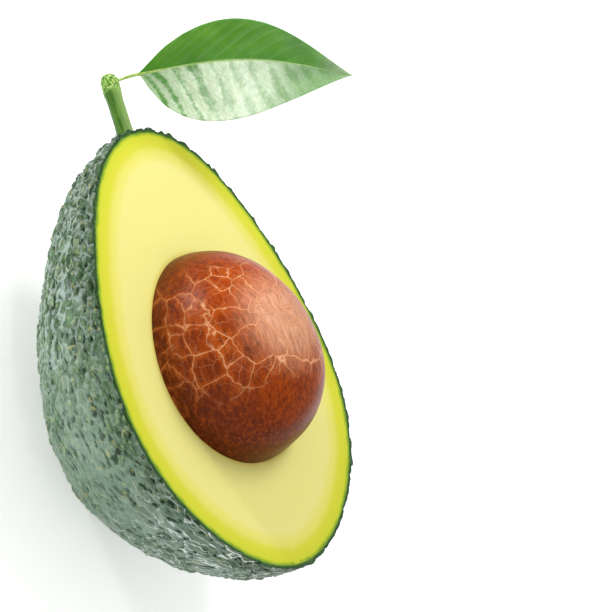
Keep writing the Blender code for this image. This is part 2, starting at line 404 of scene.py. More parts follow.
def make_stem():
    bm = bmesh.new()
    tip = bm.verts.layers.float.new("head")
    dome = [HEAD_AT + (STEM_TOP - HEAD_AT) * math.cos(math.pi / 2 * i / DOME_RINGS)
            for i in range(DOME_RINGS + 1)]
    shaft = [HEAD_AT - (HEAD_AT + STEM_BURIED) * i / SHAFT_RINGS for i in range(1, SHAFT_RINGS + 1)]
    points = [Vector((stem_radius(h), 0, h)) for h in dome + shaft] + [Vector((0, 0, -STEM_BURIED))]
    points[0].x = 0.0
    verts = [bm.verts.new(p) for p in points]
    edges = [bm.edges.new(pair) for pair in zip(verts, verts[1:])]
    bmesh.ops.spin(bm, geom=verts + edges, cent=(0, 0, 0), axis=(0, 0, 1), angle=2 * math.pi,
                   steps=STEM_STEPS, use_merge=True)
    bmesh.ops.remove_doubles(bm, verts=bm.verts, dist=0.0005 * MM)
    for v in bm.verts:
        place = v.co / MM
        head = smooth(HEAD_AT - 2.6 * MM, HEAD_AT - 0.6 * MM, v.co.z)
        rib = noise.noise(Vector((place.x * 1.3, place.y * 1.3, place.z / 6.0)))
        knob = domes(place + Vector((2, 9, 4)), 0.62, 1.0)
        outward = Vector((v.co.x, v.co.y, max(v.co.z - HEAD_AT, 0.0)))
        if outward.length > 0.0:
            outward.normalize()
        v[tip] = head
        v.co += outward * ((1 - head) * rib * 0.09 + head * (knob * 0.3 - 0.3)) * MM
    bmesh.ops.transform(bm, matrix=Matrix.Translation(STEM_FOOT) @ STEM_TURN.to_matrix().to_4x4(),
                        verts=bm.verts)
    bmesh.ops.recalc_face_normals(bm, faces=bm.faces)
    return bm


stem = keep_piece(make_stem(), "green_stem", "stem")

# %% [markdown]
# ## The leaf
# One young leaf grows from the side of the stem's head. Its blade folds up on both sides of the midrib,
# bows along its length and puckers between the side veins. A flat grid is enough to start from: one side
# of the grid runs along the leaf, the other across it, and each vertex moves to its place on the blade.
# The grid's own coordinates are kept as a UV map, because the veins follow the leaf's growth and not its
# size.

# %% Build the leaf's blade
LEAF_LENGTH = 46.6 * MM
LEAF_HALF_WIDTH = 12.95 * MM
LEAF_THICK = 0.32 * MM
LEAF_FOLD = math.radians(28.0)
LEAF_SWAY = 4.3 * MM
LEAF_ARCH = 2.0 * MM
LEAF_BASE = Vector((2.9 * MM, BLUNT + 111.1 * MM, CUT + 1.7 * MM))
LEAF_TURN = Euler(tuple(math.radians(a) for a in (52.3, -37.2, -21.8)))
LEAF_PLACE = Matrix.Translation(LEAF_BASE) @ LEAF_TURN.to_matrix().to_4x4()
VEINS = 11.5                    # side veins along the blade, on each side
VEIN_LEAN = {1: 0.3, -1: 0.16}  # how far a side vein runs forward on its way to the edge, in leaf lengths
BLADE_GRID = (230, 72)          # faces along the blade and across it


def leaf_half_width(u):
    tapered = 1 - math.exp(-u / 0.035)      # the blade runs down into its stalk
    return max(0.12 * MM, LEAF_HALF_WIDTH * math.sin(math.pi * u ** 0.715) ** 1.085 * tapered)


def vein_phase(u, v):
    """Counts the side veins: whole numbers lie on a vein."""
    lean = VEIN_LEAN[1 if v > 0 else -1]
    return VEINS * (u - lean * abs(v) ** 1.15 * (1 - 0.6 * u))


def leaf_point(u, v):
    """A place on the blade: u runs from base to tip, v from -1 to 1 across it."""
    across = v * leaf_half_width(u)
    y = across * math.cos(LEAF_FOLD) + LEAF_SWAY * math.sin(math.pi * u)
    z = abs(across) * math.sin(LEAF_FOLD) + LEAF_ARCH * 4 * u * (1 - u)
    near_rib = smooth(0.0, 0.2, abs(v))
    inner = near_rib * (1 - 0.6 * smooth(0.6, 1.0, abs(v))) * smooth(0.0, 0.12, u) * smooth(1.0, 0.75, u)
    drift = 0.35 * noise.noise(Vector((u * 5, v * 2.5, 8.0)))
    pucker = 0.5 - 0.5 * math.cos(2 * math.pi * (vein_phase(u, v) + drift))
    wave = noise.noise(Vector((u * 7, v * 1.8, 4.0)))
    deep = 0.24 - 0.16 * smooth(0.25, 0.5, u)
    swell = deep * (pucker - 0.6) + 0.4 * wave if v < 0 else 0.1 * (pucker - 0.6) + 0.16 * wave
    z += swell * inner * MM
    return Vector((LEAF_LENGTH * u, y, z))


def make_blade():
    bm = bmesh.new()
    uv = bm.loops.layers.uv.new("blade")
    bmesh.ops.create_grid(bm, x_segments=BLADE_GRID[0], y_segments=BLADE_GRID[1], size=0.5)
    grid = {v: (v.co.x + 0.5, v.co.y + 0.5) for v in bm.verts}
    for face in bm.faces:
        for corner in face.loops:
            corner[uv].uv = grid[corner.vert]
    for v, (along, across) in grid.items():
        v.co = leaf_point(min(max(along, 0.0), 1.0), 2 * across - 1)
    bmesh.ops.transform(bm, matrix=LEAF_PLACE, verts=bm.verts)
    return bm


leaf = keep_piece(make_blade(), "leaf_blade", "leaf")
thickness = leaf.modifiers.new("thickness", "SOLIDIFY")
thickness.thickness = LEAF_THICK
thickness.offset = -1.0
thickness.use_even_offset = False

# %% [markdown]
# ## The leaf's stalk and midrib
# The stalk leaves the stem's head and runs on as the midrib, thick at the base and fine at the tip. It is
# a ring of vertices, extruded from station to station along the leaf and scaled as it goes.

# %% Build the stalk and midrib
STALK_RADIUS = 0.34 * MM
STALK_SAG = 0.35 * MM
RIB_RADIUS = 0.46 * MM
RIB_TIP_RADIUS = 0.12 * MM
RIB_DEPTH = 0.36 * MM       # how far the middle of the rib lies below the fold
RIB_START = 0.03            # where the rib begins and how far it runs, in leaf lengths
RIB_RUN = 0.96
STALK_RINGS = 10
RIB_RINGS = 60


def make_midrib():
    head = Matrix.Translation(STEM_FOOT) @ STEM_TURN.to_matrix().to_4x4() @ Vector((0, 0, HEAD_AT))
    start = LEAF_PLACE.inverted() @ head
    start = start + (Vector() - start).normalized() * HEAD_RADIUS * 0.75
    first = leaf_point(RIB_START, 0.0)
    path = []
    radii = []
    for i in range(STALK_RINGS):
        sag = STALK_SAG * math.sin(math.pi * i / STALK_RINGS)
        path.append(start.lerp(first, i / STALK_RINGS) - Vector((0, 0, sag)))
        radii.append(STALK_RADIUS + (RIB_RADIUS * 0.95 - STALK_RADIUS) * smooth(3, STALK_RINGS, i))
    for i in range(RIB_RINGS + 1):
        u = RIB_START + RIB_RUN * i / RIB_RINGS
        radius = RIB_RADIUS + (RIB_TIP_RADIUS - RIB_RADIUS) * u ** 0.6
        below = RIB_DEPTH * smooth(-0.03, 0.2, u) * radius / RIB_RADIUS
        path.append(leaf_point(u, 0.0) - Vector((0, 0, below)))
        radii.append(radius)
    bm = bmesh.new()
    ring = bmesh.ops.create_circle(bm, segments=16, radius=1.0, cap_ends=True)["verts"]
    edges = list(bm.edges)
    previous = Matrix.Identity(4)
    for i, (place, radius) in enumerate(zip(path, radii)):
        ahead = (path[min(i + 1, len(path) - 1)] - path[max(i - 1, 0)]).normalized()
        turned = ahead.to_track_quat("Z", "Y").to_matrix().to_4x4()
        stand = Matrix.Translation(place) @ turned @ Matrix.Scale(radius, 4)
        if i:
            made = bmesh.ops.extrude_edge_only(bm, edges=edges)["geom"]
            ring = [g for g in made if isinstance(g, bmesh.types.BMVert)]
            chosen = set(ring)
            edges = [g for g in made if isinstance(g, bmesh.types.BMEdge) and chosen.issuperset(g.verts)]
        bmesh.ops.transform(bm, matrix=stand @ previous.inverted(), verts=ring)
        previous = stand
    bmesh.ops.contextual_create(bm, geom=edges)
    bmesh.ops.transform(bm, matrix=LEAF_PLACE, verts=bm.verts)
    bmesh.ops.recalc_face_normals(bm, faces=bm.faces)
    return bm


midrib = keep_piece(make_midrib(), "leaf_stalk_and_midrib", "leaf")

# %% [markdown]
# ## Tools for the finishes
# A colour picked from a screen is sRGB, but a shader works in linear light, so one function turns a hex
# value to linear. One more adds a node, sets it and links it. A texture's scale counts features per metre
# here, so a size in millimetres becomes a scale by one division. The last one puts a finish on its piece.
# Inputs are given by name where a node has one of that name, and by number where it has several: a Mix
# node's 0 is the share, 6 and 7 are the two colours, and its output 2 is the mixed colour.

# %% Colour, node and scale helpers


def colour(code):
    parts = [int(code[i:i + 2], 16) / 255 for i in (1, 3, 5)]
    return tuple(p / 12.92 if p <= 0.04045 else ((p + 0.055) / 1.055) ** 2.4 for p in parts) + (1.0,)


def grey(level):
    return (level, level, level, 1.0)


def every(size_mm):
    """Texture scale for a pattern whose features are this many millimetres apart."""
    return 1 / (size_mm * MM)


def add_node(tree, kind, inputs=None, stops=None, **settings):
    """Adds a node, sets its properties, fills or links its inputs, and places a ramp's stops."""
    made = tree.nodes.new(kind)
    for name, value in settings.items():
        setattr(made, name, value)
    for key, value in (inputs or {}).items():
        if isinstance(value, bpy.types.NodeSocket):
            tree.links.new(value, made.inputs[key])
        else:
            made.inputs[key].default_value = value
    for i, (place, shade) in enumerate(stops or []):
        ramp = made.color_ramp.elements
        stop = ramp[i] if i < len(ramp) else ramp.new(place)
        stop.position = place
        stop.color = shade
    return made


def new_finish(name):
    made = bpy.data.materials.new(name)
    made.use_nodes = True
    return made, made.node_tree, made.node_tree.nodes["Principled BSDF"]


def put_on(piece, finish):
    """Gives a piece its finish, and prints how many nodes that took."""
    piece.data.materials.append(finish)
    print(f"{piece.name}: {finish.name}, {len(finish.node_tree.nodes)} nodes")


print("scale for 2 mm features:", every(2))

# %% [markdown]
# ## Skin finish
# Avocado skin is living green tissue under a thin natural wax. The pits are darkened with painted shade,
# and the plain skin between the warts is paler and greyer, partly from wax bloom and partly from painted
# sheen. Both ends of the fruit are paled further with painted sheen, and the middle of the belly is rubbed
# calm. The relief kept on the mesh drives the greens, so that each dark place really lies in a pit.

# %% Plain skin and its wax


def plain_skin(tree, place, parts, lengthwise, level, held):
    """Green by relief with painted shade in the pits, rubbed calm on the belly, and paled by wax bloom and
    painted sheen in patches and at both ends.
    """
    # The darkest stops are painted shade in the pits; the pale grey stop of the plain skin is wax bloom and
    # painted sheen.
    green = add_node(tree, "ShaderNodeValToRGB", {"Fac": level}, stops=[
        (0.1, colour("#071405")), (0.26, colour("#18330f")), (0.38, colour("#64836f")),
        (0.5, colour("#82a08a")), (0.64, colour("#34552a")), (0.84, colour("#4a6d3a")),
        (1.0, colour("#90ab7c"))])
    worn = add_node(tree, "ShaderNodeValToRGB", {"Fac": lengthwise}, stops=[
        (0.03, grey(0.15)), (0.2, grey(0.7)), (0.4, grey(0.6)), (0.62, grey(0.0))])
    off_cut = add_node(tree, "ShaderNodeMapRange", {"Value": parts.outputs["Z"], "From Min": CUT - 4 * MM,
                                                    "From Max": CUT - 13 * MM}).outputs["Result"]
    calm = add_node(tree, "ShaderNodeMath", {0: worn.outputs["Color"], 1: off_cut},
                    operation="MULTIPLY").outputs[0]
    calmed = add_node(tree, "ShaderNodeMix", {0: calm, 6: green.outputs["Color"], 7: colour("#68836c")},
                      data_type="RGBA")
    # Patches of wax bloom with painted sheen, and more painted sheen towards both ends of the fruit.
    broad = add_node(tree, "ShaderNodeTexNoise",
                     {"Vector": place, "Scale": every(10), "Detail": 2.0}).outputs["Fac"]
    bloom_and_sheen = add_node(tree, "ShaderNodeMapRange", {"Value": broad, "From Min": 0.4, "From Max": 0.7,
                                                  "To Min": 0.05, "To Max": 0.5}).outputs["Result"]
    sheen_at_ends = add_node(tree, "ShaderNodeValToRGB", {"Fac": lengthwise}, stops=[
        (0.0, grey(0.3)), (0.45, grey(0.0)), (0.85, grey(0.6))]).outputs["Color"]
    wax_and_sheen = add_node(tree, "ShaderNodeMath", {0: bloom_and_sheen, 1: sheen_at_ends}, operation="ADD").outputs[0]
    wax_and_sheen_here = add_node(tree, "ShaderNodeMath", {0: wax_and_sheen, 1: held}, operation="MULTIPLY").outputs[0]
    sheened = add_node(tree, "ShaderNodeMix", {0: wax_and_sheen_here, 6: calmed.outputs[2], 7: colour("#98a99c")},
                       data_type="RGBA")
    return sheened.outputs[2]


# %% [markdown]
# Each wart has its own tone of green, given by a Voronoi cell of the warts' spacing. The distance to the
# cell's edge gives the ground between the warts: darkened with painted shade where it is a crease, and pale
# with painted sheen over wax elsewhere. A noise chooses between the two, so the pale ground comes in
# patches.
# The same noise bends the cells, which would have straight sides without it.

# %% Warts and the ground between them


def warty_skin(tree, place, lengthwise, held, under):
    """Returns the colour with the warts on it, and how deep each point lies in a groove."""
    rounder = add_node(tree, "ShaderNodeMapping",
                       {"Vector": place, "Scale": (1.0, 0.7, 1.0)}).outputs["Vector"]
    bent = add_node(tree, "ShaderNodeTexNoise", {"Vector": rounder, "Scale": every(2.2), "Detail": 2.0})
    moved = add_node(tree, "ShaderNodeVectorMath",
                     {0: bent.outputs["Color"], 1: (1.9 * MM,) * 3, 2: rounder},
                     operation="MULTIPLY_ADD").outputs[0]
    cells = add_node(tree, "ShaderNodeTexVoronoi", {"Vector": moved, "Scale": every(WART)},
                     feature="DISTANCE_TO_EDGE").outputs["Distance"]
    groove = add_node(tree, "ShaderNodeMapRange", {"Value": cells, "From Min": 0.0, "From Max": 0.3,
                                                   "To Min": 1.0, "To Max": 0.0},
                      interpolation_type="SMOOTHSTEP").outputs["Result"]
    warty = add_node(tree, "ShaderNodeMapRange", {"Value": lengthwise, "From Min": 0.35, "From Max": 0.7,
                                                  "To Min": 0.1, "To Max": 0.9}).outputs["Result"]
    creased = add_node(tree, "ShaderNodeMath", {0: groove, 1: warty}, operation="MULTIPLY").outputs[0]
    own_tone = add_node(tree, "ShaderNodeTexVoronoi",
                        {"Vector": moved, "Scale": every(WART)}).outputs["Color"]
    tones = add_node(tree, "ShaderNodeValToRGB", {"Fac": own_tone}, stops=[
        (0.34, colour("#8ca47f")), (0.44, colour("#5d834a")), (0.54, colour("#40702a")),
        (0.68, colour("#31591d"))])
    own = add_node(tree, "ShaderNodeMath", {0: warty, 1: held}, operation="MULTIPLY").outputs[0]
    own_here = add_node(tree, "ShaderNodeMath", {0: own, 1: 0.85}, operation="MULTIPLY").outputs[0]
    freshened = add_node(tree, "ShaderNodeMix", {0: own_here, 6: under, 7: tones.outputs["Color"]},
                         data_type="RGBA")
    half_groove = add_node(tree, "ShaderNodeMath", {0: groove, 1: 0.5}, operation="MULTIPLY").outputs[0]
    patchy = add_node(tree, "ShaderNodeMath", {0: bent.outputs["Fac"], 1: half_groove},
                      operation="ADD").outputs[0]
    # Painted shade darkens the creases between the warts, and painted sheen over wax pales the rest of the
    # ground.
    crease_shade_and_sheen = add_node(tree, "ShaderNodeValToRGB", {"Fac": patchy}, stops=[
        (0.5, colour("#1a3616")), (0.82, colour("#2b4b26")), (1.0, colour("#a6b7b0"))])
    shaded_and_sheened_ground = add_node(tree, "ShaderNodeMix",
                       {0: creased, 6: freshened.outputs[2], 7: crease_shade_and_sheen.outputs["Color"]},
                       data_type="RGBA")
    return shaded_and_sheened_ground.outputs[2], creased


# %% [markdown]
# Pale breathing pores show as tiny yellow-green flecks. Towards the blunt end the skin is darkened with
# painted shade, and fine raised threads run there, painted pale along their crests as highlights. A thread
# is a level
# line of a noise: the places where it is close to one half. The noise is read on coordinates unrolled
# around the fruit's axis, so that the threads keep their width all the way round.

# %% Pores and threads
THREAD_RADIUS = 22 * MM     # mean radius at which the skin is unrolled for the threads


def marked_skin(tree, place, parts, under):
    """Returns the colour with flecks, painted shade and painted highlights on it, and where the threads
    lie.
    """
    rounder = add_node(tree, "ShaderNodeMapping",
                       {"Vector": place, "Scale": (1.0, 0.7, 1.0)}).outputs["Vector"]
    pores = add_node(tree, "ShaderNodeTexNoise", {"Vector": rounder, "Scale": every(1.1), "Detail": 1.0})
    fleck = add_node(tree, "ShaderNodeMapRange", {"Value": pores.outputs["Fac"], "From Min": 0.63,
                                                  "From Max": 0.73, "To Min": 0.0, "To Max": 0.6})
    flecked = add_node(tree, "ShaderNodeMix", {0: fleck.outputs["Result"], 6: under,
                                               7: colour("#a9ad6c")}, data_type="RGBA")
    below = add_node(tree, "ShaderNodeMath", {0: parts.outputs["Z"], 1: -CUT}, operation="ADD").outputs[0]
    turn = add_node(tree, "ShaderNodeMath", {0: below, 1: parts.outputs["X"]},
                    operation="ARCTAN2").outputs[0]
    girth = add_node(tree, "ShaderNodeMath", {0: turn, 1: THREAD_RADIUS}, operation="MULTIPLY").outputs[0]
    far = add_node(tree, "ShaderNodeMath", {0: parts.outputs["Y"], 1: 0.4}, operation="MULTIPLY").outputs[0]
    unrolled = add_node(tree, "ShaderNodeCombineXYZ", {0: girth, 1: far}).outputs["Vector"]
    wrinkled = add_node(tree, "ShaderNodeTexNoise", {"Vector": unrolled, "Scale": every(1.8),
                                                     "Detail": 1.0, "Distortion": 0.3}).outputs["Fac"]
    level_line = add_node(tree, "ShaderNodeMath", {0: wrinkled, 1: 0.5, 2: 0.018},
                          operation="COMPARE").outputs[0]
    blunt_end = add_node(tree, "ShaderNodeMapRange", {"Value": parts.outputs["Y"], "From Min": -14 * MM,
                                                      "From Max": -32 * MM, "To Min": 0.0, "To Max": 0.8})
    thread = add_node(tree, "ShaderNodeMath", {0: level_line, 1: blunt_end.outputs["Result"]},
                      operation="MULTIPLY").outputs[0]
    # Painted shade darkens the skin towards the blunt end.
    blunt_shade = add_node(tree, "ShaderNodeMath", {0: blunt_end.outputs["Result"], 1: 0.3},
                     operation="MULTIPLY").outputs[0]
    shaded_blunt_end = add_node(tree, "ShaderNodeMix", {0: blunt_shade, 6: flecked.outputs[2], 7: colour("#2c4636")},
                        data_type="RGBA")
    # The threads are painted pale as highlights along their crests.
    highlit_threads = add_node(tree, "ShaderNodeMix", {0: thread, 6: shaded_blunt_end.outputs[2], 7: colour("#dfe8e0")},
                        data_type="RGBA")
    return highlit_threads.outputs[2], thread


# %% [markdown]
# The whole finish puts these together. Close to the cut the skin is darkened with painted shade, and across
# the cut rim it turns from dark green to the yellow-green of the flesh. Wax is glossy and a pit is dull, so
# the roughness follows the relief too. Relief, grooves and threads also feed one bump, for the grain that
# is too fine for the mesh.

# %% Waxy pebbled avocado skin


def waxy_skin():
    mat, tree, shader = new_finish("waxy pebbled avocado skin")
    place = add_node(tree, "ShaderNodeTexCoord").outputs["Object"]
    parts = add_node(tree, "ShaderNodeSeparateXYZ", {0: place})
    lengthwise = add_node(tree, "ShaderNodeMapRange", {"Value": parts.outputs["Y"], "From Min": BLUNT,
                                                       "From Max": BLUNT + LENGTH}).outputs["Result"]
    relief = add_node(tree, "ShaderNodeAttribute", attribute_name="relief").outputs["Fac"]
    drawn = add_node(tree, "ShaderNodeMapping",
                     {"Vector": place, "Scale": (1.0, 0.45, 1.0)}).outputs["Vector"]
    fine = add_node(tree, "ShaderNodeTexNoise", {"Vector": drawn, "Scale": every(0.75), "Detail": 4.0,
                                                 "Roughness": 0.65}).outputs["Fac"]
    mixed = add_node(tree, "ShaderNodeMath", {0: fine, 1: 0.6, 2: relief},
                     operation="MULTIPLY_ADD").outputs[0]
    level = add_node(tree, "ShaderNodeMapRange",
                     {"Value": mixed, "From Min": 0.3, "From Max": 1.2}).outputs["Result"]
    held = add_node(tree, "ShaderNodeMapRange",
                    {"Value": level, "From Min": 0.24, "From Max": 0.44}).outputs["Result"]
    waxed_green = plain_skin(tree, place, parts, lengthwise, level, held)
    warted, creased = warty_skin(tree, place, lengthwise, held, waxed_green)
    # Painted shade darkens the skin towards the cut.
    near_cut = add_node(tree, "ShaderNodeMapRange", {"Value": parts.outputs["Z"],
                                                     "From Min": CUT - 12 * MM, "From Max": CUT,
                                                     "To Min": 0.0, "To Max": 0.5}).outputs["Result"]
    shaded_near_cut = add_node(tree, "ShaderNodeMix", {0: near_cut, 6: warted, 7: colour("#274522")},
                     data_type="RGBA")
    marked, thread = marked_skin(tree, place, parts, shaded_near_cut.outputs[2])
    inside = add_node(tree, "ShaderNodeAttribute", attribute_name="inside").outputs["Fac"]
    rim = add_node(tree, "ShaderNodeValToRGB", {"Fac": inside}, stops=[
        (0.0, colour("#163a14")), (0.5, colour("#264f18")), (0.85, colour("#557f28")),
        (1.0, colour("#a9c038"))])
    cut = add_node(tree, "ShaderNodeMapRange", {"Value": inside, "From Min": 0.02, "From Max": 0.12})
    skin = add_node(tree, "ShaderNodeMix", {0: cut.outputs["Result"], 6: marked,
                                            7: rim.outputs["Color"]}, data_type="RGBA")
    tree.links.new(skin.outputs[2], shader.inputs["Base Color"])
    raised = add_node(tree, "ShaderNodeMath", {0: fine, 1: 0.4, 2: relief},
                      operation="MULTIPLY_ADD").outputs[0]
    sunk = add_node(tree, "ShaderNodeMath", {0: creased, 1: -0.55, 2: raised},
                    operation="MULTIPLY_ADD").outputs[0]
    lifted = add_node(tree, "ShaderNodeMath", {0: thread, 1: 0.3, 2: sunk},
                      operation="MULTIPLY_ADD").outputs[0]
    grain = add_node(tree, "ShaderNodeBump", {"Height": lifted, "Strength": 1.0, "Distance": 0.9 * MM})
    tree.links.new(grain.outputs["Normal"], shader.inputs["Normal"])
    dull = add_node(tree, "ShaderNodeMapRange", {"Value": level, "From Min": 0.2, "From Max": 0.5,
                                                 "To Min": 0.75, "To Max": 0.4}).outputs["Result"]
    tree.links.new(dull, shader.inputs["Roughness"])
    shader.inputs["Specular IOR Level"].default_value = 0.3
    shader.inputs["IOR"].default_value = 1.5
    return mat


put_on(peel, waxy_skin())

# %% [markdown]
# ## Flesh finish
# Avocado flesh is soft, wet and full of oil: light goes a little way in and comes back out, which gives it
# its creamy glow. The green pigment lives next to the peel, so colour follows the distance from the edge.
# A little noise on that distance keeps the bands from looking drawn.

# %% Buttery avocado flesh


def buttery_flesh():
    mat, tree, shader = new_finish("buttery avocado flesh")
    place = add_node(tree, "ShaderNodeTexCoord").outputs["Object"]
    from_peel = add_node(tree, "ShaderNodeAttribute", attribute_name="from_peel_mm").outputs["Fac"]
    from_seed = add_node(tree, "ShaderNodeAttribute", attribute_name="from_seed_mm").outputs["Fac"]
    wander = add_node(tree, "ShaderNodeTexNoise", {"Vector": place, "Scale": every(3.5), "Detail": 3.0})
    shifted = add_node(tree, "ShaderNodeMath", {0: wander.outputs["Fac"], 1: 1.1, 2: from_peel},
                       operation="MULTIPLY_ADD").outputs[0]
    across = add_node(tree, "ShaderNodeMapRange", {"Value": shifted, "From Min": 0.45, "From Max": 10.45})
    bands = add_node(tree, "ShaderNodeValToRGB", {"Fac": across.outputs["Result"]}, stops=[
        (0.0, colour("#5d8a1c")), (0.03, colour("#9cb229")), (0.08, colour("#c6ca33")),
        (0.26, colour("#cdcb39")), (0.5, colour("#dbd46a")), (0.72, colour("#dfd884")),
        (1.0, colour("#dfd882"))])
    bands.color_ramp.interpolation = "EASE"
    near = add_node(tree, "ShaderNodeMapRange", {"Value": from_seed, "From Min": 0.0, "From Max": 1.3,
                                                 "To Min": 0.55, "To Max": 0.0})
    edged = add_node(tree, "ShaderNodeMix", {0: near.outputs["Result"], 6: bands.outputs["Color"],
                                             7: colour("#e2c94a")}, data_type="RGBA")
    tree.links.new(edged.outputs[2], shader.inputs["Base Color"])
    cream = add_node(tree, "ShaderNodeTexNoise", {"Vector": place, "Scale": every(1.4), "Detail": 5.0})
    soft = add_node(tree, "ShaderNodeBump",
                    {"Height": cream.outputs["Fac"], "Strength": 0.2, "Distance": 0.08 * MM})
    tree.links.new(soft.outputs["Normal"], shader.inputs["Normal"])
    shader.inputs["Roughness"].default_value = 0.5
    shader.inputs["IOR"].default_value = 1.4
    shader.inputs["Specular IOR Level"].default_value = 0.15
    shader.inputs["Subsurface Weight"].default_value = 0.15
    shader.inputs["Subsurface Radius"].default_value = (1.0, 0.8, 0.3)
    shader.inputs["Subsurface Scale"].default_value = 2.0 * MM
    return mat


put_on(flesh, buttery_flesh())

# %% [markdown]
# ## Seed finish
# The seed coat is a dry, papery skin over wood-hard flesh, rubbed to a soft gloss. Fine fibres, dark and
# light, run along the seed. Near the flesh and down one flank the coat is darkened with painted shade, and
# on top a pale, flaky tan patch carries a painted highlight. A noise that is stretched along the seed gives
# the fibres, and plain ramps over the seed's height and width give the painted shade.

# %% Brown fibres of the seed coat
# Centre of a painted highlight on a pale, flaky patch on the seed's top.
PAINTED_HIGHLIGHT_AT = (-1 * MM, SEED_MIDDLE + 2 * MM, CUT + 21 * MM)


def brown_coat(tree, place, blunt, streak):
    """Returns the coat's colour before it tears, its painted shade, and the painted shade of the flank
    alone.
    """
    blotch = add_node(tree, "ShaderNodeTexNoise",
                      {"Vector": place, "Scale": every(5), "Detail": 4.0}).outputs["Fac"]
    tone = add_node(tree, "ShaderNodeMath", {0: blotch, 1: 0.6, 2: blunt},
                    operation="MULTIPLY_ADD").outputs[0]
    base = add_node(tree, "ShaderNodeValToRGB", {"Fac": tone}, stops=[
        (0.3, colour("#742b05")), (0.6, colour("#8f3804")), (0.9, colour("#a03e02")),
        (1.0, colour("#a94002"))])
    parts = add_node(tree, "ShaderNodeSeparateXYZ", {0: place})
    # Painted shade darkens the coat near the flesh and down its left flank.
    low = add_node(tree, "ShaderNodeMapRange", {"Value": parts.outputs["Z"], "From Min": CUT,
                                                "From Max": CUT + 16 * MM,
                                                "To Min": 1.0, "To Max": 0.0}).outputs["Result"]
    flank = add_node(tree, "ShaderNodeMapRange", {"Value": parts.outputs["X"], "From Min": -7 * MM,
                                                  "From Max": -18 * MM,
                                                  "To Min": 0.0, "To Max": 0.3}).outputs["Result"]
    painted_shade = add_node(tree, "ShaderNodeMath", {0: low, 1: flank}, operation="MAXIMUM").outputs[0]
    shaded_coat = add_node(tree, "ShaderNodeMix", {0: painted_shade, 6: base.outputs["Color"], 7: colour("#4c1a05")},
                      data_type="RGBA")
    dark = add_node(tree, "ShaderNodeMapRange", {"Value": streak, "From Min": 0.52, "From Max": 0.3,
                                                 "To Min": 0.0, "To Max": 0.75}).outputs["Result"]
    darker = add_node(tree, "ShaderNodeMix", {0: dark, 6: shaded_coat.outputs[2], 7: colour("#3a1608")},
                      data_type="RGBA")
    light = add_node(tree, "ShaderNodeMapRange", {"Value": streak, "From Min": 0.5, "From Max": 0.75,
                                                  "To Min": 0.0, "To Max": 0.5}).outputs["Result"]
    grained = add_node(tree, "ShaderNodeMix", {0: light, 6: darker.outputs[2], 7: colour("#b4560e")},
                       data_type="RGBA")
    # A painted highlight on a pale, streaky patch of the coat.
    to_patch = add_node(tree, "ShaderNodeVectorMath", {0: place, 1: PAINTED_HIGHLIGHT_AT},
                        operation="DISTANCE").outputs["Value"]
    highlight_share = add_node(tree, "ShaderNodeMapRange", {"Value": to_patch, "From Min": 3 * MM, "From Max": 15 * MM,
                                                "To Min": 0.7, "To Max": 0.0},
                   interpolation_type="SMOOTHSTEP").outputs["Result"]
    highlight_streaks = add_node(tree, "ShaderNodeMath", {0: streak, 1: 1.9}, operation="MULTIPLY").outputs[0]
    highlight_here = add_node(tree, "ShaderNodeMath", {0: highlight_share, 1: highlight_streaks}, operation="MULTIPLY").outputs[0]
    highlighted = add_node(tree, "ShaderNodeMix", {0: highlight_here, 6: grained.outputs[2], 7: colour("#e0ac8a")},
                     data_type="RGBA")
    return highlighted.outputs[2], painted_shade, flank


# %% [markdown]
# As it dried, the coat shrank and tore into plates, and the tears show pale. The plates are Voronoi
# cells, bent by a noise so that no line runs straight, and smaller cells give the finest tears. A second,
# wider band of tan lies around each tear, and on one flank painted shade darkens the plates' hearts. The
# ends of the seed and the parts under painted shade are hardly torn.

# %% Tears between the plates
PLATE_SHIFT = (13 * MM, 4.5 * MM, 22 * MM)      # slides the plates until the large ones lie on top


